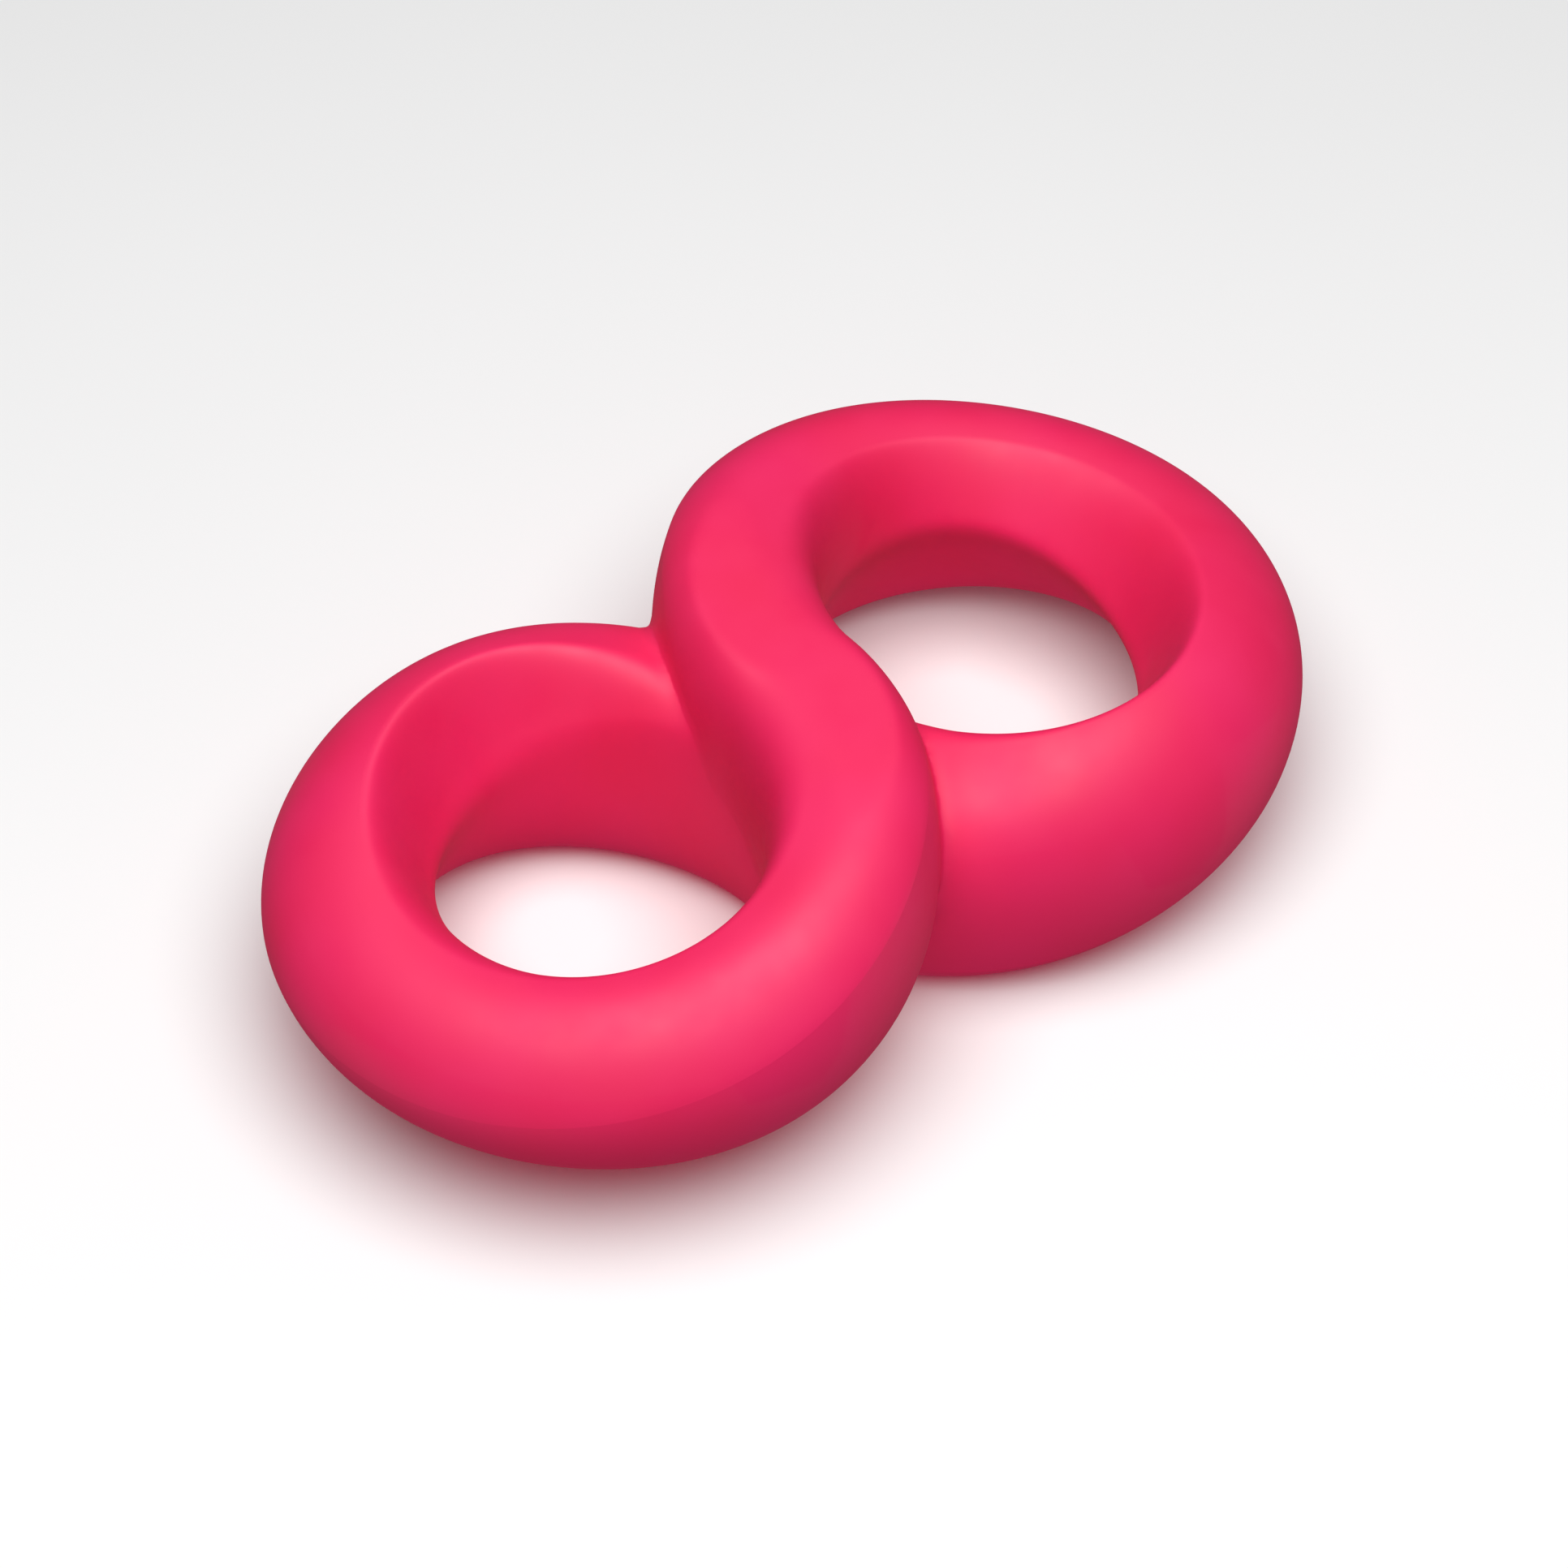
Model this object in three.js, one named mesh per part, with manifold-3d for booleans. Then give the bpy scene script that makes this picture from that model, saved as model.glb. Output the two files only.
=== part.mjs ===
// Pull buoy: a hollow figure-eight float, moulded in two half shells that are the same part turned over.
// A divider plate splits the hollow into two water chambers, and each chamber has a screw plug that is
// reached from below: a threaded bush set in a boss of the lower shell, a coin-slot plug and its seal.
// Units are millimetres. The float is modelled round its own middle, then lifted to stand on z = 0.
import * as THREE from "three";
import { mergeVertices } from "three/addons/utils/BufferGeometryUtils.js";
import Module from "manifold-3d";

const wasm = await Module();
wasm.setup();

// ---- Driving dimensions ----

const WALL = 2.6; // shell wall
const GAP = 0.3; // clearance between touching pieces
const REST_HALF_HEIGHT = 40.2; // from the middle to the flat that the float rests on, and to its twin on top

// Centreline of the strand, one closed figure eight. Its place along the strand is an angle, turn:
// 0 is the upper strand at the crossing, pi the lower one, and +-pi/2 the two ring ends.
const REACH = [85.2, -25.6, 0.6]; // along x: sin(turn), sin(3 turn), sin(5 turn)
const SWING = [46.7, -11.3, -1.7]; // along y: sin(2 turn), sin(4 turn), sin(6 turn)
const LIFT = [10.2, 4.8]; // along z: cos(turn), cos(3 turn)

// Section of the strand, across and up from its centreline. Each value holds for the side to the left of
// travel. The right side is the left side of the strand at the opposite turn, and the underside is the
// top at the turn on the other strand, pi - turn.
const HALF_WIDTH = [21.4, 1.3, 0.5, -1.3]; // mean, cos(2 turn), cos(4 turn), cos(6 turn)
const OUTWARD_WIDTH = [10.9, 2.3, -2]; // sin(turn), sin(3 turn), sin(5 turn): wider to the ring's outside
const CREST_SHIFT = [2.1, 5.4]; // of the crest from the centreline: sin(turn), sin(2 turn)
const CREST_HEIGHT = [28.1, -0.8, 1.5, 0.6, -3.2]; // mean, cos(turn), cos(2 turn), ..., cos(4 turn)
const SEAM_COMMON = [-1.7, -6.5]; // height of both seam edges: cos(turn), cos(3 turn)
const SEAM_TILT = [10, 9.8]; // height of one edge over the other: sin(2 turn), sin(4 turn)
const BANK = 0.29; // radians that the section leans, as sin(2 turn)

// Roundness of the section. A crest power of 2 is round and more is flatter. A seam power of 2 is a round
// edge and less is sharper. The addition at the crossing dies out along the strand by its fall.
const CREST_POWER = { mean: 1.94, atCrossing: 2.39, fall: 4, outward: 0.28, leading: 0.54, least: 1.2 };
const SEAM_POWER = { mean: 1.29, atCrossing: 0.89, fall: 8, outward: 0.42, leading: -0.3, least: 1.02 };

const STEPS_ALONG = 40; // facets along one strand, ring end to ring end
const STEPS_ROUND = 24; // facets round the skin
const CAVITY_STEPS_ALONG = 24;
const CAVITY_STEPS_ROUND = 12;

const DIVIDER_THICKNESS = 2;

// Seam: the surface where the half shells meet. It dies out to z = 0 at the crossing.
const SEAM_FADE = 0.36; // turn at which the seam leaves the crossing's level
const SEAM_LEAD = 0.1; // turn by which the cutting surface starts before the crossing
const SEAM_STEPS = 12; // facets of the cutting surface along a quarter of the strand
const SEAM_MARGIN = 3; // how far the cutting surface runs past the skin
const FAR = 200; // beyond the float in every direction
const FINEST = 0.01; // edges shorter than this are merged when solids are joined or cut

// Fill ports, in the underside of the ring ends.
const PORT_FACE = -19; // height of the boss's flat face, from the float's middle
const PORT_SHIFT = 6.6; // from the centreline towards the ring's outside
const BOSS_RADIUS = 10.4;
const BOSS_TOP = -7.5;
const BUSH_RADIUS = 8;
const BUSH_BORE = 4.7;
const BUSH_FLANGE_RADIUS = 10;
const BUSH_FLANGE = 1.4;
const COUNTERBORE_RADIUS = 6.7;
const COUNTERBORE_DEPTH = 4.3;
const PORT_REACH = 10; // height to which the port's hole is cut clear

const HEAD_RADIUS = 6.3;
const HEAD_RECESS = 0.3;
const HEAD_THICKNESS = 2.2;
const HEAD_CHAMFER = 0.4;
const SHANK_RADIUS = 4.35;
const SHANK_END = 10.2; // depth of the shank's tip from the boss face
const SLOT_WIDTH = 1.8;
const SLOT_DEPTH = 1.2;
const SLOT_LENGTH = 9;
const SEAL_RADIUS = 5.5; // to the middle of the ring's cord
const SEAL_CORD = 0.7; // radius of the ring's cord

const PINK = new THREE.MeshStandardMaterial({ color: 0xe4305d, roughness: 0.45, metalness: 0 });
const DIVIDER_PINK = new THREE.MeshStandardMaterial({ color: 0xd92b57, roughness: 0.6, metalness: 0 });
const BRASS = new THREE.MeshStandardMaterial({ color: 0xb58b4a, roughness: 0.35, metalness: 1 });
const PLUG_PINK = new THREE.MeshStandardMaterial({ color: 0xb81f48, roughness: 0.4, metalness: 0 });
const RUBBER = new THREE.MeshStandardMaterial({ color: 0x1c1c1e, roughness: 0.8, metalness: 0 });

// ---- Mesh and solid helpers ----

// A closed three.js geometry as a solid that can be joined and cut.
function solid(geometry) {
  const bare = geometry.clone();
  bare.deleteAttribute("normal");
  bare.deleteAttribute("uv");
  const merged = mergeVertices(bare, 1e-4);
  return new wasm.Manifold(
    new wasm.Mesh({
      numProp: 3,
      vertProperties: new Float32Array(merged.attributes.position.array),
      triVerts: new Uint32Array(merged.index.array),
      tolerance: FINEST,
    }),
  );
}

// A solid back as a three.js geometry.
function geometryOf(body) {
  const mesh = body.getMesh();
  const geometry = new THREE.BufferGeometry();
  geometry.setAttribute("position", new THREE.BufferAttribute(mesh.vertProperties, 3));
  geometry.setIndex(new THREE.BufferAttribute(mesh.triVerts, 1));
  geometry.computeVertexNormals();
  return geometry;
}

// A copy of a geometry with every vertex moved by the sign of each axis. Two signs are minus: a half turn.
function halfTurned(geometry, signX, signY, signZ) {
  const copy = geometry.clone();
  const position = copy.attributes.position;
  for (let i = 0; i < position.count; i += 1) {
    position.setXYZ(i, signX * position.getX(i), signY * position.getY(i), signZ * position.getZ(i));
  }
  return copy;
}

const turnedOver = (geometry) => halfTurned(geometry, 1, -1, -1);
const turnedRound = (geometry) => halfTurned(geometry, -1, -1, 1);

// A box between two corners.
function block(low, high) {
  const size = high.map((value, axis) => value - low[axis]);
  const box = new THREE.BoxGeometry(...size);
  box.translate(...high.map((value, axis) => (value + low[axis]) / 2));
  return box;
}

// A turned piece about the z axis through the point (x, 0), from [radius, height] points.
function turned(points, x, segments = 36) {
  const profile = points.map(([radius, height]) => new THREE.Vector2(radius, height));
  const lathe = new THREE.LatheGeometry(profile, segments);
  lathe.rotateX(Math.PI / 2);
  lathe.translate(x, 0, 0);
  return lathe;
}

// A closed skin from rings of points: sections[i][j] runs round section i, and flat caps close the ends.
function loft(sections) {
  const around = sections[0].length;
  const positions = sections.flat(2);
  const index = [];
  const last = (sections.length - 1) * around;
  for (let i = 0; i < sections.length - 1; i += 1) {
    for (let j = 0; j < around; j += 1) {
      const here = i * around + j;
      const beside = i * around + ((j + 1) % around);
      index.push(here, beside, here + around, beside, beside + around, here + around);
    }
  }
  for (let j = 1; j < around - 1; j += 1) {
    index.push(0, j + 1, j);
    index.push(last, last + j, last + j + 1);
  }
  const geometry = new THREE.BufferGeometry();
  geometry.setAttribute("position", new THREE.Float32BufferAttribute(positions.map(snapped), 3));
  geometry.setIndex(index);
  return geometry;
}

// Coordinates on a fine grid, so that pieces that mirror each other meet exactly.
const snapped = (value) => Math.round(value * 1e4) / 1e4;

// ---- The strand ----

const sum = (values, wave, turn, first, step) =>
  values.reduce((total, value, i) => total + value * wave((first + i * step) * turn), 0);

// Middle of the strand at a turn, and the level direction across it, to the left of travel.
function centreline(turn) {
  const middle = [
    sum(REACH, Math.sin, turn, 1, 2),
    sum(SWING, Math.sin, turn, 2, 2),
    sum(LIFT, Math.cos, turn, 1, 2),
  ];
  const alongX = REACH.reduce((t, v, i) => t + v * (1 + 2 * i) * Math.cos((1 + 2 * i) * turn), 0);
  const alongY = SWING.reduce((t, v, i) => t + v * (2 + 2 * i) * Math.cos((2 + 2 * i) * turn), 0);
  const length = Math.hypot(alongX, alongY);
  return { middle, across: [-alongY / length, alongX / length] };
}

const halfWidth = (turn) => sum(HALF_WIDTH, Math.cos, turn, 0, 2) + sum(OUTWARD_WIDTH, Math.sin, turn, 1, 2);
const crestShift = (turn) => sum(CREST_SHIFT, Math.sin, turn, 1, 1);
const crestHeight = (turn) => sum(CREST_HEIGHT, Math.cos, turn, 0, 1);
const seamHeight = (turn) => sum(SEAM_COMMON, Math.cos, turn, 1, 2) + sum(SEAM_TILT, Math.sin, turn, 2, 2);

function power(law, turn) {
  const towardsEnds = law.outward * Math.sin(turn) + law.leading * Math.sin(2 * turn);
  return Math.max(law.least, law.mean + law.atCrossing * Math.cos(turn) ** law.fall + towardsEnds);
}

// Half width, seam height and the quarters over and under the seam on one side: +1 left of travel, -1 right.
function sectionSide(turn, side, inset) {
  const above = side * turn;
  const below = Math.PI - above;
  const seam = seamHeight(above);
  const quarter = (at, seamRise) => ({
    height: crestHeight(at) - seamRise - inset,
    shift: crestShift(at),
    crestPower: power(CREST_POWER, at),
    seamPower: power(SEAM_POWER, at),
  });
  return { width: halfWidth(above) - inset, seam, over: quarter(above, seam), under: quarter(below, -seam) };
}

// A point of the section plane, across and up from the centreline, in space. The section leans by BANK.
function placed(turn, across, up) {
  const line = centreline(turn);
  const lean = BANK * Math.sin(2 * turn);
  const level = across * Math.cos(lean) - up * Math.sin(lean);
  const rise = across * Math.sin(lean) + up * Math.cos(lean);
  const [x, y, z] = line.middle;
  return [x + level * line.across[0], y + level * line.across[1], z + rise];
}

// The skin's section at a turn, inset by a wall: four rounded quarters with their edges on the seam.
function skinSection(turn, around, inset) {
  const points = [];
  for (let j = 0; j < around; j += 1) {
    const round = (2 * Math.PI * j) / around;
    const c = Math.cos(round);
    const s = Math.sin(round);
    const left = c >= 0 ? 1 : -1;
    const side = sectionSide(turn, left, inset);
    const quarter = s >= 0 ? side.over : side.under;
    const beside = (side.width - quarter.shift) * Math.abs(c) ** (2 / quarter.crestPower);
    const across = left * (quarter.shift + beside);
    const up = side.seam + Math.sign(s) * quarter.height * Math.abs(s) ** (2 / quarter.seamPower);
    points.push(placed(turn, across, up));
  }
  return points;
}

// Turns from one place to another in even steps, ends included.
const turns = (from, to, steps) =>
  Array.from({ length: steps + 1 }, (_, i) => from + ((to - from) * i) / steps);

// Both strands, ring end to ring end, joined into one solid and planed flat on top and underneath.
function strands(inset, along, around) {
  const sections = turns(-Math.PI / 2, Math.PI / 2, along).map((turn) => skinSection(turn, around, inset));
  const upper = loft(sections);
  const planed = REST_HALF_HEIGHT - inset;
  const slab = block([-FAR, -FAR, -planed], [FAR, FAR, planed]);
  return solid(upper).add(solid(turnedOver(upper))).intersect(solid(slab));
}

// ---- The seam ----

// How much of the seam's height is left at a turn: none at the crossing, all of it past SEAM_FADE.
function seamStrength(turn) {
  const toCrossing = Math.abs(Math.sin(turn));
  return THREE.MathUtils.smoothstep(toCrossing, 0, Math.sin(SEAM_FADE));
}

// Section of the space over or under the seam at a turn: one side runs through both seam edges, moved up
// by lift, and the other is level, far above or below.
function seamSection(turn, lift, roof) {
  const left = sectionSide(turn, 1, 0);
  const right = sectionSide(turn, -1, 0);
  const edges = [placed(turn, -right.width, right.seam), placed(turn, left.width, left.seam)];
  const { middle, across } = centreline(turn);
  const reachOf = (point) => (point[0] - middle[0]) * across[0] + (point[1] - middle[1]) * across[1];
  const [low, high] = edges.map(reachOf);
  const slope = (edges[1][2] - edges[0][2]) / (high - low);
  const floor = [high + SEAM_MARGIN, low - SEAM_MARGIN].map((reach) => {
    const height = (edges[0][2] + slope * (reach - low)) * seamStrength(turn) + lift;
    return [middle[0] + reach * across[0], middle[1] + reach * across[1], height];
  });
  const top = floor.map(([x, y]) => [x, y, roof]);
  return [floor[0], top[0], top[1], floor[1]];
}

// The far quarter of the right ring, over the seam (side +1) or under it (side -1).
function farQuarter(side) {
  const sections = turns(-SEAM_LEAD, Math.PI / 2, SEAM_STEPS).map((turn) => {
    return seamSection(turn, (side * GAP) / 2, side * FAR);
  });
  const geometry = loft(sections);
  if (side < 0) {
    geometry.index.array.reverse();
  }
  return solid(geometry).intersect(solid(block([(-side * GAP) / 2, 0, -FAR], [FAR, FAR, FAR])));
}

// The space over the seam: the right ring's far quarter, its near quarter, which is the space under the
// far one turned over, and the same two for the left ring.
function spaceOverSeam() {
  const right = farQuarter(1).add(solid(turnedOver(geometryOf(farQuarter(-1)))));
  return right.add(solid(turnedRound(geometryOf(right))));
}

// ---- The pieces ----

const portX = centreline(Math.PI / 2).middle[0] + PORT_SHIFT;

// A plain round bar about the port's axis, from one height to another.
const bar = (x, radius, low, high) => solid(turned([[0, low], [radius, low], [radius, high], [0, high]], x));

// What the bush needs clear in the shell: its own round hole, and everything under the boss's face.
function portHole(x) {
  return bar(x, BOSS_RADIUS, -FAR, PORT_FACE).add(bar(x, BUSH_RADIUS + GAP, PORT_FACE, PORT_REACH));
}

function shells() {
  const skin = strands(0, STEPS_ALONG, STEPS_ROUND);
  const hollow = strands(WALL, CAVITY_STEPS_ALONG, CAVITY_STEPS_ROUND);
  const upper = geometryOf(skin.subtract(hollow).intersect(spaceOverSeam()));
  let lower = solid(turnedOver(upper));
  for (const x of [-portX, portX]) {
    lower = lower.add(bar(x, BOSS_RADIUS, PORT_FACE, BOSS_TOP)).subtract(portHole(x));
  }
  return { upper, lower: geometryOf(lower) };
}

// Plate across the crossing, inside the wall.
function divider() {
  const hollow = strands(WALL + GAP, CAVITY_STEPS_ALONG, CAVITY_STEPS_ROUND);
  const half = DIVIDER_THICKNESS / 2;
  return geometryOf(hollow.intersect(solid(block([-half, -FAR, -FAR], [half, FAR, FAR]))));
}

// Bush: a sleeve with a flange that bears on the boss's inner end and a counterbore for the plug's head.
function bush() {
  const seat = PORT_FACE + COUNTERBORE_DEPTH;
  const shoulder = BOSS_TOP + GAP;
  const top = shoulder + BUSH_FLANGE;
  return [
    [COUNTERBORE_RADIUS, PORT_FACE],
    [BUSH_RADIUS, PORT_FACE],
    [BUSH_RADIUS, shoulder],
    [BUSH_FLANGE_RADIUS, shoulder],
    [BUSH_FLANGE_RADIUS, top],
    [BUSH_BORE, top],
    [BUSH_BORE, seat],
    [COUNTERBORE_RADIUS, seat],
    [COUNTERBORE_RADIUS, PORT_FACE],
  ];
}

// Plug: a flat head with a chamfered rim, and a shank that holds the thread.
function plug(x) {
  const face = PORT_FACE + HEAD_RECESS;
  const back = face + HEAD_THICKNESS;
  const tip = PORT_FACE + SHANK_END;
  const points = [
    [0, face],
    [HEAD_RADIUS - HEAD_CHAMFER, face],
    [HEAD_RADIUS, face + HEAD_CHAMFER],
    [HEAD_RADIUS, back],
    [SHANK_RADIUS, back],
    [SHANK_RADIUS, tip - HEAD_CHAMFER],
    [SHANK_RADIUS - HEAD_CHAMFER, tip],
    [0, tip],
  ];
  const half = [SLOT_LENGTH / 2, SLOT_WIDTH / 2];
  const slot = block([x - half[0], -half[1], face - SLOT_DEPTH], [x + half[0], half[1], face + SLOT_DEPTH]);
  return geometryOf(solid(turned(points, x)).subtract(solid(slot)));
}

// Seal: a rubber ring between the head and the bush's seat.
function seal(x) {
  const middle = (PORT_FACE + HEAD_RECESS + HEAD_THICKNESS + PORT_FACE + COUNTERBORE_DEPTH) / 2;
  const ring = new THREE.TorusGeometry(SEAL_RADIUS, SEAL_CORD, 10, 36);
  ring.translate(x, 0, middle);
  return ring;
}

// ---- The float ----

const float = new THREE.Group();
float.position.z = REST_HALF_HEIGHT;

function addPiece(name, geometry, material) {
  const mesh = new THREE.Mesh(geometry, material);
  mesh.name = name;
  float.add(mesh);
}

const { upper, lower } = shells();
addPiece("upper_shell", upper, PINK);
addPiece("lower_shell", lower, PINK);
addPiece("chamber_divider", divider(), DIVIDER_PINK);
for (const [side, x] of [["left", -portX], ["right", portX]]) {
  addPiece(`${side}_port_bush`, turned(bush(), x), BRASS);
  addPiece(`${side}_fill_plug`, plug(x), PLUG_PINK);
  addPiece(`${side}_plug_seal`, seal(x), RUBBER);
}

const pullBuoy = new THREE.Group();
pullBuoy.add(float);

export default pullBuoy;
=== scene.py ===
# Pull buoy: the looks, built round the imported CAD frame. The two half shells get a fine smooth skin with
# rounded grooves, and the screw plugs, bushes and seals get their threads, slots and finish.
import math

import bmesh
import bpy
import numpy as np
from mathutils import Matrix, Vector, kdtree


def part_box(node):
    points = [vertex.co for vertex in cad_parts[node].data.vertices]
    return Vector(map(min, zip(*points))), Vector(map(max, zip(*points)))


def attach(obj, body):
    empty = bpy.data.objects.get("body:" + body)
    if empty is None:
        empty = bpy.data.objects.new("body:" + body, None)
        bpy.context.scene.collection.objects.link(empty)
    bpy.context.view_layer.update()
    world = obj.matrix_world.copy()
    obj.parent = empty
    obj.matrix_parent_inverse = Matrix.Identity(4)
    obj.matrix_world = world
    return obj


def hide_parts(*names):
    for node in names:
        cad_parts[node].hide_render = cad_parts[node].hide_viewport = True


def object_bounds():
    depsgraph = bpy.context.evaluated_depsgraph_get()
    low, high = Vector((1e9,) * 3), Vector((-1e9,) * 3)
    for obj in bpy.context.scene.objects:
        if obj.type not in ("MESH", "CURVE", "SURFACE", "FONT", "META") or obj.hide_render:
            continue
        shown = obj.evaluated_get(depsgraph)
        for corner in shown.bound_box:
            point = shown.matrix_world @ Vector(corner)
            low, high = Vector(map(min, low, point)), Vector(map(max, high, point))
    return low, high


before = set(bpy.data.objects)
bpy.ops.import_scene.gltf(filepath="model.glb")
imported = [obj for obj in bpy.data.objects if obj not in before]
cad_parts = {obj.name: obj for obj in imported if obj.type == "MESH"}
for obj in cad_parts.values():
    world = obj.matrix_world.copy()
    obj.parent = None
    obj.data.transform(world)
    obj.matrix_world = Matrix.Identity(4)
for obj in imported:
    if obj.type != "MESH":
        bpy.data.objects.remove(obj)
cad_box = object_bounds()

MM = 0.001

# ---- The strand's form, in millimetres, as the CAD part has it ----
# Its place along the strand is an angle, turn: 0 at the crossing and +-pi/2 at the two ring ends.

WALL = 2.6
REST_HALF_HEIGHT = (cad_box[1][2] - cad_box[0][2]) / MM / 2  # from the middle to the flat at the crossing
REACH = [85.2, -25.6, 0.6]  # centreline along x: sin(turn), sin(3 turn), sin(5 turn)
SWING = [46.7, -11.3, -1.7]  # along y: sin(2 turn), sin(4 turn), sin(6 turn)
LIFT = [10.2, 4.8]  # along z: cos(turn), cos(3 turn)
HALF_WIDTH = [21.4, 1.3, 0.5, -1.3]  # mean, cos(2 turn), cos(4 turn), cos(6 turn)
OUTWARD_WIDTH = [10.9, 2.3, -2]  # sin(turn), sin(3 turn), sin(5 turn)
CREST_SHIFT = [2.1, 5.4]  # sin(turn), sin(2 turn)
CREST_HEIGHT = [28.1, -0.8, 1.5, 0.6, -3.2]  # mean, cos(turn), cos(2 turn), ..., cos(4 turn)
SEAM_COMMON = [-1.7, -6.5]  # cos(turn), cos(3 turn)
SEAM_TILT = [10, 9.8]  # sin(2 turn), sin(4 turn)
BANK = 0.29  # radians that the section leans, as sin(2 turn)
CREST_POWER = {"mean": 1.94, "at_crossing": 2.39, "fall": 4, "outward": 0.28, "leading": 0.54, "least": 1.2}
SEAM_POWER = {"mean": 1.29, "at_crossing": 0.89, "fall": 8, "outward": 0.42, "leading": -0.3, "least": 1.02}
SEAM_FADE = 0.36  # turn at which the seam leaves the crossing's level

# ---- The fine skin, in millimetres ----

ROWS = 300  # sections along one strand, ring end to ring end
QUARTER = 40  # facets round a quarter of the section
OUTLINE_STEPS = 400  # steps in which a quarter is drawn, before it is divided into facets
FLAT_BLEND = 1.0  # height over which the skin rounds into the flat at the crossing
GROOVE_REACH = 4.0  # how far the rounding of the groove between the strands spreads
GROOVE_PASSES = 30
GROOVE_FOLD = 0.25  # radians that an edge folds by to count as sharp
EVENING = 0.5  # share of the way to its neighbours' middle that a point moves in one pass
SHARP = math.radians(40)
SHOULDER_REACH = 9.0  # the same for the seam's shoulder on the insides of the rings
SHOULDER_PASSES = 40
RIM_REACH = 1.2  # and for the rim of a port's dish
RIM_PASSES = 6
DISH_RINGS = 36  # rings of facets up the side of a port's dish, and across its flat face
FACE_RINGS = 4
ON_SEAM = 1e-3  # a point this near to the seam's level lies on it

# ---- The ports ----

BUSH_LOW, BUSH_HIGH = (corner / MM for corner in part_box("right_port_bush"))
PLUG_LOW, PLUG_HIGH = (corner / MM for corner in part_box("right_fill_plug"))
SEAL_LOW, SEAL_HIGH = (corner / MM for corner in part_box("right_plug_seal"))
PORT_X = (PLUG_LOW.x + PLUG_HIGH.x) / 2
PORT_FACE = BUSH_LOW.z  # height of the boss's flat face
BOSS_RADIUS = 10.4
BUSH_RADIUS = 8.0
BUSH_FLANGE_RADIUS = (BUSH_HIGH.x - BUSH_LOW.x) / 2
BUSH_FLANGE = 1.4
BUSH_BORE = 4.7
COUNTERBORE_RADIUS = 6.7
COUNTERBORE_DEPTH = 4.3
PORT_CLEARANCE = 0.3
BOSS_TOP = BUSH_HIGH.z - BUSH_FLANGE - PORT_CLEARANCE
PORT_SEGMENTS = 96
NEAR_PORT = 0.1  # a point this near to a port's circle or face lies on it
EDGE = 0.3  # chamfer on the bush's edges
HEAD_RADIUS = (PLUG_HIGH.x - PLUG_LOW.x) / 2
HEAD_THICKNESS = 2.2
HEAD_ROUND = 0.4  # radius of the round on the head's face edge
HEAD_BREAK = 0.2  # chamfer on the head's hidden edge
ROUND_STEPS = 6
SHANK_RADIUS = 4.35
SLOT_WIDTH = 1.8
SLOT_DEPTH = 1.2
SLOT_LENGTH = 9.0
SLOT_EASE = 0.2  # how far the slot's mouth and floor edges are eased
SLOT_OVERCUT = 1.0  # how far the slot's cutter reaches out past the face
THREAD_PITCH = 2.0
THREAD_DEPTH = 0.7
THREAD_CREST = 0.1  # share of the pitch that half of a crest takes
THREAD_FLANK = 0.28  # share of the pitch that a flank takes
THREAD_STEP = 0.1  # height between rings of the threaded meshes
THREAD_RUN_OUT = 1.0  # height over which a thread fades at its ends
SEAL_SECTION = 24
ANGLES = np.linspace(0, 2 * math.pi, PORT_SEGMENTS, endpoint=False)


def series(values, wave, turn, first, step):
    return sum(value * wave((first + i * step) * turn) for i, value in enumerate(values))


def centreline(turn):
    """Middle of the strand and the level direction across it, to the left of travel."""
    middle = np.array([
        series(REACH, np.sin, turn, 1, 2),
        series(SWING, np.sin, turn, 2, 2),
        series(LIFT, np.cos, turn, 1, 2),
    ])
    along_x = sum(value * (1 + 2 * i) * np.cos((1 + 2 * i) * turn) for i, value in enumerate(REACH))
    along_y = sum(value * (2 + 2 * i) * np.cos((2 + 2 * i) * turn) for i, value in enumerate(SWING))
    across = np.array([-along_y, along_x, 0.0]) / math.hypot(along_x, along_y)
    return middle, across


def half_width(turn):
    return series(HALF_WIDTH, np.cos, turn, 0, 2) + series(OUTWARD_WIDTH, np.sin, turn, 1, 2)


def crest_shift(turn):
    return series(CREST_SHIFT, np.sin, turn, 1, 1)


def crest_height(turn):
    return series(CREST_HEIGHT, np.cos, turn, 0, 1)


def seam_height(turn):
    return series(SEAM_COMMON, np.cos, turn, 1, 2) + series(SEAM_TILT, np.sin, turn, 2, 2)


def power(law, turn):
    towards_ends = law["outward"] * math.sin(turn) + law["leading"] * math.sin(2 * turn)
    return max(law["least"], law["mean"] + law["at_crossing"] * math.cos(turn) ** law["fall"] + towards_ends)


def placed(turn, across, up):
    """Points of the section plane, across and up from the centreline, in space."""
    middle, sideways = centreline(turn)
    lean = BANK * math.sin(2 * turn)
    level = across * math.cos(lean) - up * math.sin(lean)
    rise = across * math.sin(lean) + up * math.cos(lean)
    return middle + np.outer(level, sideways) + np.outer(rise, [0, 0, 1])


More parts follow.
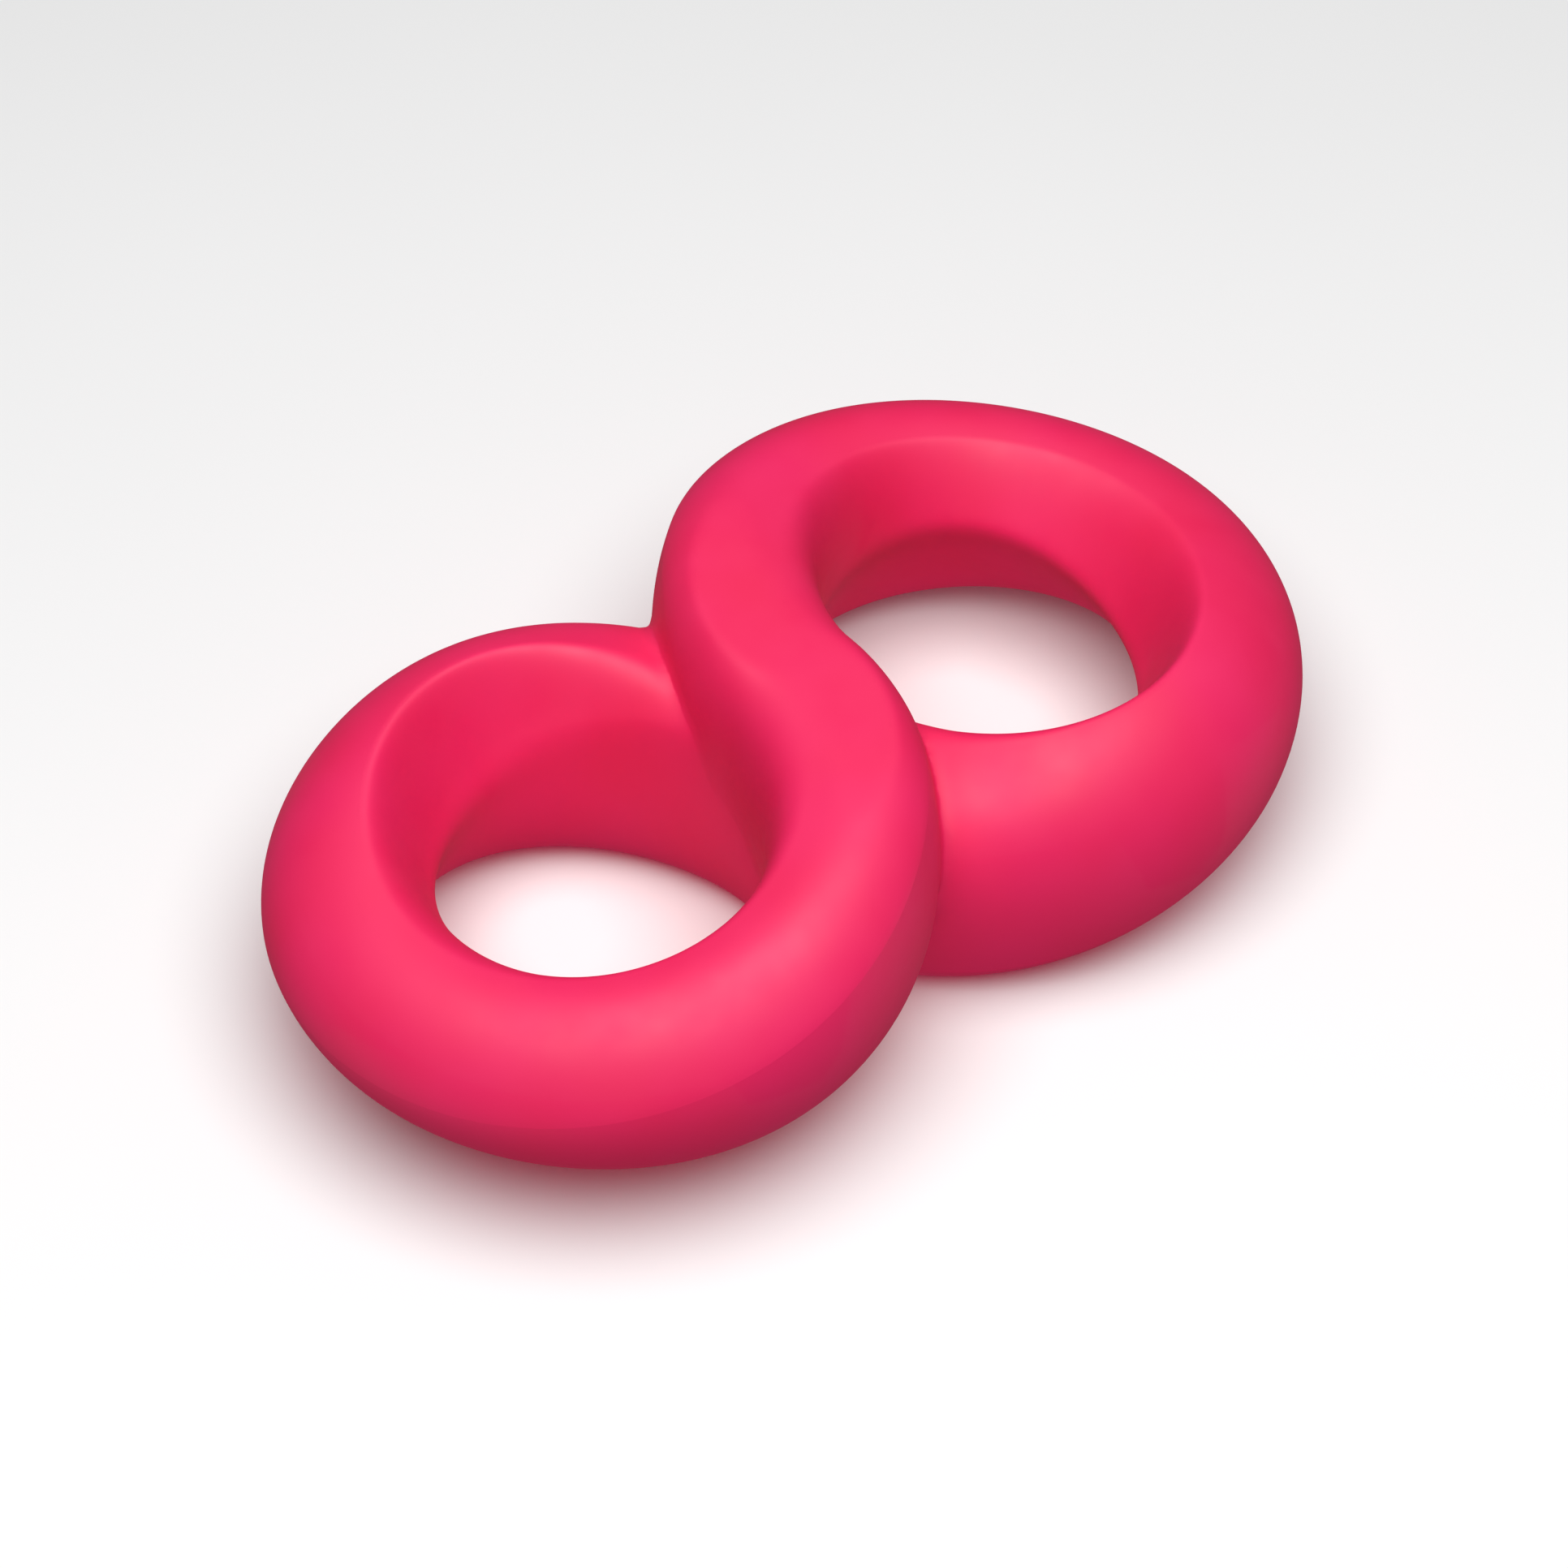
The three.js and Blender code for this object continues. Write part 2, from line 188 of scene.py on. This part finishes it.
def quarter_outline(turn, side, above):
    """A quarter of the section, from its seam edge to its crest, in even steps: across and up."""
    at = side * turn if above else math.pi - side * turn
    seam = seam_height(side * turn)
    shift = crest_shift(at)
    width = half_width(side * turn) - shift
    height = crest_height(at) - (seam if above else -seam)
    even = np.linspace(0, 1, OUTLINE_STEPS + 1)
    angle = math.pi / 2 * even**2 * (3 - 2 * even)
    across = shift + width * np.clip(np.cos(angle), 0, 1) ** (2 / power(CREST_POWER, at))
    rise = height * np.sin(angle) ** (2 / power(SEAM_POWER, at))
    across[-1] = shift
    length = np.concatenate(([0], np.cumsum(np.hypot(np.diff(across), np.diff(rise)))))
    stops = np.linspace(0, length[-1], QUARTER + 1)
    up = seam + (1 if above else -1) * np.interp(stops, length, rise)
    return side * np.interp(stops, length, across), up


def flattened(z):
    """Heights rounded into the flats on top and underneath."""
    beyond = np.clip(np.abs(z) - (REST_HALF_HEIGHT - FLAT_BLEND), 0, 2 * FLAT_BLEND)
    return np.sign(z) * (np.minimum(np.abs(z), REST_HALF_HEIGHT + FLAT_BLEND) - beyond**2 / (4 * FLAT_BLEND))


def section(turn):
    """The skin's section at a turn: left seam edge, crest, right seam edge, underside, and back."""
    left_over = np.stack(quarter_outline(turn, 1, True))
    right_over = np.stack(quarter_outline(turn, -1, True))
    right_under = np.stack(quarter_outline(turn, -1, False))
    left_under = np.stack(quarter_outline(turn, 1, False))
    rounds = [left_over[:, :-1], right_over[:, :0:-1], right_under[:, :-1], left_under[:, :0:-1]]
    across, up = np.concatenate(rounds, axis=1)
    points = placed(turn, across, up)
    points[:, 2] = flattened(points[:, 2])
    return points


def mesh_object(name, points, faces):
    mesh = bpy.data.meshes.new(name)
    mesh.from_pydata([tuple(point) for point in points], [], faces)
    mesh.validate()
    made = bpy.data.objects.new(name, mesh)
    bpy.context.scene.collection.objects.link(made)
    return made


def grid_faces(rows, around):
    """Quads between closed rings of points."""
    faces = []
    for i in range(rows - 1):
        for j in range(around):
            here = i * around + j
            beside = i * around + (j + 1) % around
            faces.append((here, beside, beside + around, here + around))
    return faces


def strand(name, points, turned_over):
    """One strand as a closed mesh, in metres, standing at its real height."""
    rows, around = points.shape[:2]
    flat = np.round(points.reshape(-1, 3), 4)
    if turned_over:
        flat = flat * [1, -1, -1]
    ends = [tuple(reversed(range(around))), tuple(range((rows - 1) * around, rows * around))]
    return mesh_object(name, (flat + [0, 0, REST_HALF_HEIGHT]) * MM, grid_faces(rows, around) + ends)


def applied(piece):
    """The piece with its modifiers turned into mesh."""
    graph = bpy.context.evaluated_depsgraph_get()
    mesh = bpy.data.meshes.new_from_object(piece.evaluated_get(graph))
    piece.modifiers.clear()
    old = piece.data
    piece.data = mesh
    bpy.data.meshes.remove(old)
    return piece


def smooth(piece):
    piece.data.shade_smooth()
    piece.data.set_sharp_from_angle(angle=SHARP)
    return piece


def combined(piece, other, operation):
    """The piece joined with or cut by another, which is used up."""
    boolean = piece.modifiers.new(operation.lower(), "BOOLEAN")
    boolean.operation = operation
    boolean.solver = "MANIFOLD"
    boolean.object = other
    applied(piece)
    mesh = other.data
    bpy.data.objects.remove(other)
    bpy.data.meshes.remove(mesh)
    return piece


def turned(name, profile, x, hollow=False):
    """A closed mesh about the vertical through (x, 0), from [radius, height] in millimetres.

    A radius is a number or one value for each of the angles. A hollow profile closes on itself, and the
    others get a flat face at either end.
    """
    ring = np.stack([np.cos(ANGLES), np.sin(ANGLES)], 1)
    rings = []
    for radius, height in profile:
        radii = np.broadcast_to(radius, ANGLES.shape)[:, None]
        rings.append(np.column_stack([ring * radii + [x, 0], np.full(PORT_SEGMENTS, height)]))
    if hollow:
        faces = grid_faces(len(rings) + 1, PORT_SEGMENTS)
        count = len(rings) * PORT_SEGMENTS
        faces = [tuple(corner % count for corner in face) for face in faces]
    else:
        last = (len(rings) - 1) * PORT_SEGMENTS
        ends = [tuple(reversed(range(PORT_SEGMENTS))), tuple(range(last, last + PORT_SEGMENTS))]
        faces = grid_faces(len(rings), PORT_SEGMENTS) + ends
    return mesh_object(name, np.concatenate(rings) * MM, faces)


def relaxed(bm, line, reach, passes):
    """Rounds the mesh along a line of places on it, by evening out the points within reach of them."""
    tree = kdtree.KDTree(len(line))
    for i, place in enumerate(line):
        tree.insert(place, i)
    tree.balance()
    weights = {}
    for vert in bm.verts:
        distance = tree.find(vert.co)[2] / (reach * MM)
        if distance < 1:
            weights[vert] = (1 - distance**2) ** 2
    for _ in range(passes):
        moved = {}
        for vert, weight in weights.items():
            mean = Vector()
            for edge in vert.link_edges:
                mean += edge.other_vert(vert).co
            moved[vert] = vert.co.lerp(mean / len(vert.link_edges), EVENING * weight)
        for vert, place in moved.items():
            vert.co = place


def seam_levels(turns):
    """Height of the seam at each turn, on the left and the right of the strand."""
    levels = []
    for turn in turns:
        share = min(1.0, abs(math.sin(turn)) / math.sin(SEAM_FADE))
        strength = share**2 * (3 - 2 * share)
        both = []
        for side in (1, -1):
            width, height = half_width(side * turn), seam_height(side * turn)
            edge = placed(turn, np.array([side * width]), np.array([height]))
            both.append(edge[0][2] * strength)
        levels.append(both)
    return levels


def level_finder(points, turns, turned_over):
    """A function from a place on a strand to the height of the seam beside it."""
    levels = seam_levels(turns)
    rows, around = points.shape[:2]
    tree = kdtree.KDTree(rows * around)
    sign = -1 if turned_over else 1
    for i in range(rows):
        for j in range(around):
            x, y, z = points[i, j]
            tree.insert((x, sign * y, sign * z), i * around + j)
    tree.balance()

    def level(place):
        index = tree.find(place)[1]
        i, j = divmod(index, around)
        left = j < QUARTER or j > 3 * QUARTER
        return sign * levels[i][0 if left else 1]

    return level


def over_seam(place, upper_level, lower_level):
    """How far a place of the skin lies over the surface where the half shells meet, in millimetres."""
    x, y, z = place
    outward = x if y >= 0 else -x
    return max(min(outward, z - upper_level(place)), min(-outward, z - lower_level(place)))


def along(edges):
    """Places on edges, at their ends and middles."""
    ends = [vert.co.copy() for edge in edges for vert in edge.verts]
    return ends + [(edge.verts[0].co + edge.verts[1].co) / 2 for edge in edges]


def groove_line(bm):
    """The groove where the two strands meet: the sharp inward folds."""
    folds = [e for e in bm.edges if len(e.link_faces) == 2 and e.calc_face_angle_signed(0) < -GROOVE_FOLD]
    return along(folds)


def shoulder_line(points, turns):
    """The seam edges on the insides of both rings, which the moulding rounds."""
    line = []
    for around, turn in zip(points, turns):
        x, y, z = around[2 * QUARTER if turn > 0 else 0] * MM
        line.append(Vector((x, y, z + REST_HALF_HEIGHT * MM)))
        line.append(Vector((x, -y, REST_HALF_HEIGHT * MM - z)))
    return line


def rim_line(bm, x):
    """The edge where the skin turns into the dish of the port at x."""
    edges = []
    for edge in bm.edges:
        middle = (edge.verts[0].co + edge.verts[1].co) / 2 / MM
        if len(edge.link_faces) == 2 and edge.calc_face_angle_signed(0) > GROOVE_FOLD:
            from_circle = abs(math.hypot(middle.x - x, middle.y) - BOSS_RADIUS)
            if from_circle < NEAR_PORT and middle.z < PORT_FACE - NEAR_PORT:
                edges.append(edge)
    return along(edges)


def port_cutter(x):
    """Everything that the port takes out of the skin: the dish under the boss's face and the bush's hole."""
    hole = BUSH_RADIUS + PORT_CLEARANCE
    side = [(BOSS_RADIUS, height) for height in np.linspace(0, PORT_FACE, DISH_RINGS)]
    face = [(radius, PORT_FACE) for radius in np.linspace(BOSS_RADIUS, hole, FACE_RINGS)]
    return turned("port_cutter", side + face[1:] + [(hole, BOSS_TOP)], x)


def hole_ends(bm, x):
    """Faces that close the inner end of the bush's hole at x."""
    faces = []
    for face in bm.faces:
        middle = face.calc_center_median() / MM
        level = all(abs(vert.co.z / MM - BOSS_TOP) < NEAR_PORT for vert in face.verts)
        if level and math.hypot(middle.x - x, middle.y) < BOSS_RADIUS:
            faces.append(face)
    return faces


def split_at_seam(bm, upper_level, lower_level):
    """Cuts the skin's faces along the seam, and stores the height over the seam of each of its points."""
    height = bm.verts.layers.float.new("over_seam")
    for vert in bm.verts:
        place = vert.co / MM - Vector((0, 0, REST_HALF_HEIGHT))
        vert[height] = over_seam(place, upper_level, lower_level)
        if abs(vert[height]) < ON_SEAM:
            vert[height] = 0.0
    for edge in list(bm.edges):
        start, end = edge.verts
        if start[height] * end[height] < 0:
            share = start[height] / (start[height] - end[height])
            cut = bmesh.utils.edge_split(edge, start, share)[1]
            cut[height] = 0.0
    bmesh.ops.connect_verts(bm, verts=[v for v in bm.verts if v[height] == 0.0])


def skin_half(name, above, bm):
    """The faces of one side of the seam as a shell of the real wall's thickness."""
    half = bm.copy()
    layer = half.verts.layers.float["over_seam"]
    sign = 1 if above else -1
    away = [f for f in half.faces if sign * sum(v[layer] for v in f.verts) < 0]
    bmesh.ops.delete(half, geom=away, context="FACES")
    mesh = bpy.data.meshes.new(name)
    half.to_mesh(mesh)
    half.free()
    made = bpy.data.objects.new(name, mesh)
    bpy.context.scene.collection.objects.link(made)
    thick = made.modifiers.new("wall", "SOLIDIFY")
    thick.thickness = WALL * MM
    thick.offset = -1
    thick.use_even_offset = True
    thick.use_rim = True
    return smooth(applied(made))


def skin_halves():
    """The whole skin, with its groove, shoulders and ports, split along the seam into its two halves."""
    turns = np.linspace(-math.pi / 2, math.pi / 2, ROWS + 1)
    points = np.array([section(turn) for turn in turns])
    skin = combined(strand("skin", points, False), strand("under", points, True), "UNION")
    for x in (-PORT_X, PORT_X):
        combined(skin, port_cutter(x), "DIFFERENCE")
    bm = bmesh.new()
    bm.from_mesh(skin.data)
    bmesh.ops.triangulate(bm, faces=[face for face in bm.faces if len(face.verts) > 4])
    bm.normal_update()
    relaxed(bm, groove_line(bm), GROOVE_REACH, GROOVE_PASSES)
    relaxed(bm, shoulder_line(points, turns), SHOULDER_REACH, SHOULDER_PASSES)
    for x in (-PORT_X, PORT_X):
        relaxed(bm, rim_line(bm, x), RIM_REACH, RIM_PASSES)
        bmesh.ops.delete(bm, geom=hole_ends(bm, x), context="FACES")
    split_at_seam(bm, level_finder(points, turns, False), level_finder(points, turns, True))
    halves = [skin_half("upper_skin", True, bm), skin_half("lower_skin", False, bm)]
    bm.free()
    bpy.data.objects.remove(skin)
    return halves


def thread_ridge(height, offset):
    """How far a right-handed thread's ridge stands out at each angle of a level, from 0 to 1."""
    phase = (height / THREAD_PITCH - ANGLES / (2 * math.pi) + offset + 0.5) % 1 - 0.5
    return np.clip((THREAD_CREST + THREAD_FLANK - np.abs(phase)) / THREAD_FLANK, 0, 1)


def run_out(height, low, high):
    """The share of its depth that a thread has at a height, fading towards its ends."""
    return min(1.0, max(0.0, min(height - low, high - height) / THREAD_RUN_OUT))


def shank_rings():
    """The plug's threaded shank, from under its head to its tip."""
    low = PLUG_LOW.z + HEAD_THICKNESS
    root = SHANK_RADIUS - THREAD_DEPTH
    rings = []
    for height in np.arange(low, PLUG_HIGH.z - EDGE, THREAD_STEP):
        ridge = thread_ridge(height, 0.0) * run_out(height, low, PLUG_HIGH.z)
        rings.append((root + THREAD_DEPTH * ridge, height))
    return rings + [(root - EDGE, PLUG_HIGH.z)]


def slot_cutter(x):
    """The coin slot with its eased mouth and floor, about the plug's axis."""
    face = PLUG_LOW.z
    levels = [
        (SLOT_EASE + SLOT_OVERCUT, face - SLOT_OVERCUT),
        (SLOT_EASE, face),
        (0, face + SLOT_EASE),
        (0, face + SLOT_DEPTH - SLOT_EASE),
        (-SLOT_EASE, face + SLOT_DEPTH),
    ]
    run = (SLOT_LENGTH - SLOT_WIDTH) / 2
    points = []
    for extra, height in levels:
        radius = SLOT_WIDTH / 2 + extra
        for angle in ANGLES:
            middle = math.copysign(run, math.cos(angle))
            points.append((x + middle + radius * math.cos(angle), radius * math.sin(angle), height))
    last = (len(levels) - 1) * PORT_SEGMENTS
    ends = [tuple(reversed(range(PORT_SEGMENTS))), tuple(range(last, last + PORT_SEGMENTS))]
    return mesh_object("slot", np.array(points) * MM, grid_faces(len(levels), PORT_SEGMENTS) + ends)


def head_rings():
    """The plug's head, from its rounded face edge to its underside."""
    low, high = PLUG_LOW.z, PLUG_LOW.z + HEAD_THICKNESS
    rings = []
    for angle in np.linspace(0, math.pi / 2, ROUND_STEPS):
        radius = HEAD_RADIUS - HEAD_ROUND * (1 - math.sin(angle))
        rings.append((radius, low + HEAD_ROUND * (1 - math.cos(angle))))
    return rings + [(HEAD_RADIUS, high - HEAD_BREAK), (HEAD_RADIUS - HEAD_BREAK, high)]


def fill_plug(side, x):
    """A screw plug: a low head with a coin slot and a threaded shank."""
    plug = turned(f"{side}_plug", head_rings() + shank_rings(), x)
    return smooth(combined(plug, slot_cutter(x), "DIFFERENCE"))


def port_bush(side, x):
    """A turned bush: a flange over the boss, a sleeve, a counterbore for the plug's head and a thread."""
    low, high = BUSH_LOW.z, BUSH_HIGH.z
    under_flange = high - BUSH_FLANGE
    shoulder = low + COUNTERBORE_DEPTH
    outside = [
        (BUSH_RADIUS - EDGE, low),
        (BUSH_RADIUS, low + EDGE),
        (BUSH_RADIUS, under_flange),
        (BUSH_FLANGE_RADIUS - EDGE, under_flange),
        (BUSH_FLANGE_RADIUS, under_flange + EDGE),
        (BUSH_FLANGE_RADIUS, high - EDGE),
        (BUSH_FLANGE_RADIUS - EDGE, high),
    ]
    thread = []
    for height in np.arange(high, shoulder, -THREAD_STEP):
        ridge = thread_ridge(height, 0.5) * run_out(height, shoulder, high)
        thread.append((BUSH_BORE - THREAD_DEPTH * ridge, height))
    inside = [
        (BUSH_BORE + EDGE, shoulder),
        (COUNTERBORE_RADIUS, shoulder),
        (COUNTERBORE_RADIUS, low + EDGE),
        (COUNTERBORE_RADIUS + EDGE, low),
    ]
    return smooth(turned(f"{side}_bush", outside + thread + inside, x, hollow=True))


def plug_seal(side, x):
    """The rubber ring under the plug's head."""
    cord = (SEAL_HIGH.z - SEAL_LOW.z) / 2
    middle = (SEAL_HIGH.x - SEAL_LOW.x) / 2 - cord
    around = np.linspace(0, 2 * math.pi, SEAL_SECTION, endpoint=False)
    height = (SEAL_LOW.z + SEAL_HIGH.z) / 2
    profile = [(middle + cord * math.cos(a), height + cord * math.sin(a)) for a in around]
    return smooth(turned(f"{side}_seal", profile, x, hollow=True))


# ---- Materials ----

NOISE_LOW, NOISE_HIGH = 0.3, 0.7  # the part of a noise's range that it uses most

class Surface:
    """A material under construction: its nodes share the object's own coordinates."""

    def __init__(self, name, metallic=0.0, specular=0.5):
        self.material = bpy.data.materials.new(name)
        self.material.use_nodes = True
        self.tree = self.material.node_tree
        self.shader = self.tree.nodes["Principled BSDF"]
        self.shader.inputs["Metallic"].default_value = metallic
        self.shader.inputs["Specular IOR Level"].default_value = specular
        self.place = self.tree.nodes.new("ShaderNodeTexCoord").outputs["Object"]

    def link(self, source, target):
        self.tree.links.new(source, target)

    def noise(self, size, detail=2.0, stretch=(1, 1, 1)):
        """Noise with features of a size in millimetres."""
        mapping = self.tree.nodes.new("ShaderNodeMapping")
        mapping.inputs["Scale"].default_value = stretch
        self.link(self.place, mapping.inputs["Vector"])
        noise = self.tree.nodes.new("ShaderNodeTexNoise")
        noise.inputs["Scale"].default_value = 1 / (size * MM)
        noise.inputs["Detail"].default_value = detail
        self.link(mapping.outputs["Vector"], noise.inputs["Vector"])
        return noise.outputs["Fac"]

    def ranged(self, value, low, high):
        node = self.tree.nodes.new("ShaderNodeMapRange")
        node.inputs["From Min"].default_value = NOISE_LOW
        node.inputs["From Max"].default_value = NOISE_HIGH
        node.inputs["To Min"].default_value = low
        node.inputs["To Max"].default_value = high
        self.link(value, node.inputs["Value"])
        return node.outputs["Result"]

    def colour(self, value, first, second):
        """Base colour between two, by a noise value."""
        mix = self.tree.nodes.new("ShaderNodeMix")
        mix.data_type = "RGBA"
        mix.inputs[6].default_value = (*first, 1)
        mix.inputs[7].default_value = (*second, 1)
        self.link(self.ranged(value, 0, 1), mix.inputs[0])
        self.link(mix.outputs[2], self.shader.inputs["Base Color"])

    def roughness(self, value, low, high):
        self.link(self.ranged(value, low, high), self.shader.inputs["Roughness"])

    def bump(self, value, height, strength=1.0, under=None):
        """Raises the surface by a noise value, over an earlier bump if there is one; height in mm."""
        bump = self.tree.nodes.new("ShaderNodeBump")
        bump.inputs["Strength"].default_value = strength
        bump.inputs["Distance"].default_value = height * MM
        self.link(value, bump.inputs["Height"])
        if under:
            self.link(under, bump.inputs["Normal"])
        self.link(bump.outputs["Normal"], self.shader.inputs["Normal"])
        return bump.outputs["Normal"]


def soft_pink():
    """Soft-touch moulded plastic: faint clouding in the colour and a fine etched grain."""
    surface = Surface("soft_pink", specular=0.7)
    surface.colour(surface.noise(45), (0.85, 0.007, 0.090), (0.88, 0.010, 0.120))
    surface.roughness(surface.noise(12), 0.56, 0.66)
    orange_peel = surface.bump(surface.noise(6), 0.05, 0.3)
    surface.bump(surface.noise(0.5, 1.0), 0.012, 0.35, under=orange_peel)
    return surface.material


def divider_pink():
    """The chamber divider, as moulded: shinier, with flow marks across it."""
    surface = Surface("divider_pink")
    surface.colour(surface.noise(20, 3.0, (1, 0.3, 1)), (0.66, 0.012, 0.07), (0.78, 0.018, 0.10))
    surface.roughness(surface.noise(8), 0.32, 0.46)
    surface.bump(surface.noise(1.2), 0.02, 0.4)
    return surface.material


def turned_brass():
    """Turned brass: fine rings of tool marks, and slight tarnish."""
    surface = Surface("turned_brass", metallic=1.0)
    surface.colour(surface.noise(3, 4.0), (0.60, 0.40, 0.14), (0.78, 0.57, 0.25))
    surface.roughness(surface.noise(1.5, 3.0), 0.22, 0.38)
    surface.bump(surface.noise(0.35, 1.0, (0.03, 0.03, 1)), 0.01, 0.5)
    return surface.material


def plug_plastic():
    """The plug's deeper pink: satin moulded plastic, a little worn in its gloss."""
    surface = Surface("plug_plastic")
    surface.colour(surface.noise(4), (0.40, 0.010, 0.050), (0.50, 0.016, 0.072))
    surface.roughness(surface.noise(2, 3.0), 0.34, 0.52)
    surface.bump(surface.noise(0.3, 1.0), 0.01, 0.4)
    return surface.material


def seal_rubber():
    """Matte black rubber with a fine dusty grain."""
    surface = Surface("seal_rubber", specular=0.3)
    surface.colour(surface.noise(1.5, 3.0), (0.012, 0.012, 0.014), (0.035, 0.035, 0.037))
    surface.roughness(surface.noise(1), 0.7, 0.9)
    surface.bump(surface.noise(0.2, 1.0), 0.01, 0.5)
    return surface.material


def pale_floor():
    surface = Surface("pale_floor", specular=0.1)
    surface.colour(surface.noise(400), (0.90, 0.90, 0.90), (0.92, 0.92, 0.92))
    surface.roughness(surface.noise(100), 0.8, 0.9)
    return surface.material


# ---- The pieces on their bodies ----


def fitted(piece, body, node, material):
    """Gives a piece its material, and puts it on its body in place of the CAD node."""
    piece.data.materials.clear()
    piece.data.materials.append(material)
    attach(piece, body)
    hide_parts(node)


def shells():
    pink = soft_pink()
    for half, node in zip(skin_halves(), ("upper_shell", "lower_shell")):
        fitted(half, "float", node, pink)


def ports():
    brass, plastic, rubber = turned_brass(), plug_plastic(), seal_rubber()
    for side, x in (("left", -PORT_X), ("right", PORT_X)):
        fitted(port_bush(side, x), "float", f"{side}_port_bush", brass)
        fitted(fill_plug(side, x), f"{side}_plug", f"{side}_fill_plug", plastic)
        fitted(plug_seal(side, x), f"{side}_seal", f"{side}_plug_seal", rubber)


def divider():
    """The divider keeps its CAD mesh, and takes a material of its own."""
    slots = bpy.data.objects["chamber_divider"].material_slots
    for slot in slots:
        slot.material = divider_pink()


# ---- Floor, lights and camera: angles in degrees, distances in metres ----

CAMERA_AZIMUTH = -40.4
CAMERA_ELEVATION = 45.7
CAMERA_DISTANCE = 1.272
CAMERA_LENS = 120.8
CAMERA_SHIFT = (-0.0056, -0.0094)
FLOOR_DROP = 0.1  # millimetres; keeps the floor clear of the flat that rests on it
FLOOR_EDGE = 4.0  # from the middle to each edge
KEY_AZIMUTH = -36
KEY_ELEVATION = 74
KEY_DISTANCE = 1.5
KEY_SIZE = 1.6
KEY_WATTS = 29
FILLS = 6
FILL_ELEVATION = -25
FILL_DISTANCE = 2.0
FILL_SIZE = 1.5
FILL_WATTS = 6
AMBIENT = 0.1


def direction(azimuth, elevation):
    a, e = math.radians(azimuth), math.radians(elevation)
    return Vector((math.sin(a) * math.cos(e), -math.cos(a) * math.cos(e), math.sin(e)))


def aimed(thing, target):
    thing.rotation_euler = (Vector(target) - thing.location).to_track_quat("-Z", "Y").to_euler()


def camera():
    data = bpy.data.cameras.new("camera")
    data.lens = CAMERA_LENS
    data.shift_x, data.shift_y = CAMERA_SHIFT
    made = bpy.data.objects.new("camera", data)
    middle = Vector((0, 0, REST_HALF_HEIGHT * MM))
    made.location = middle + direction(CAMERA_AZIMUTH, CAMERA_ELEVATION) * CAMERA_DISTANCE
    aimed(made, middle)
    bpy.context.scene.collection.objects.link(made)
    bpy.context.scene.camera = made


def floor():
    """The pale floor. It takes the float's shadow, and lets the fill lights below it through."""
    directions = [(-1, -1), (1, -1), (1, 1), (-1, 1)]
    corners = [(x * FLOOR_EDGE, y * FLOOR_EDGE, -FLOOR_DROP * MM) for x, y in directions]
    made = mesh_object("floor", corners, [(0, 1, 2, 3)])
    made.data.materials.append(pale_floor())
    made.visible_diffuse = False
    made.visible_glossy = False
    made.visible_shadow = False


def softbox(name, azimuth, elevation, distance, size, watts, sheen):
    """A round area light aimed at the float's middle, which leaves a sheen on it or not."""
    data = bpy.data.lights.new(name, "AREA")
    data.shape = "DISK"
    data.size = size
    data.energy = watts
    made = bpy.data.objects.new(name, data)
    made.location = direction(azimuth, elevation) * distance
    made.visible_camera = False
    made.visible_glossy = sheen
    aimed(made, (0, 0, 0))
    bpy.context.scene.collection.objects.link(made)


def lights():
    """One big softbox overhead, and weak light from below all round, as a white sweep throws back.

    The light from below leaves no sheen.
    """
    softbox("key", KEY_AZIMUTH, KEY_ELEVATION, KEY_DISTANCE, KEY_SIZE, KEY_WATTS, True)
    for i in range(FILLS):
        softbox(f"fill_{i}", 360 * i / FILLS, FILL_ELEVATION, FILL_DISTANCE, FILL_SIZE, FILL_WATTS, False)


def surroundings():
    world = bpy.data.worlds.new("studio")
    world.use_nodes = True
    background = world.node_tree.nodes["Background"]
    background.inputs["Color"].default_value = (1, 1, 1, 1)
    background.inputs["Strength"].default_value = AMBIENT
    bpy.context.scene.world = world


shells()
ports()
divider()
camera()
floor()
lights()
surroundings()
bpy.context.scene.view_settings.view_transform = "Standard"
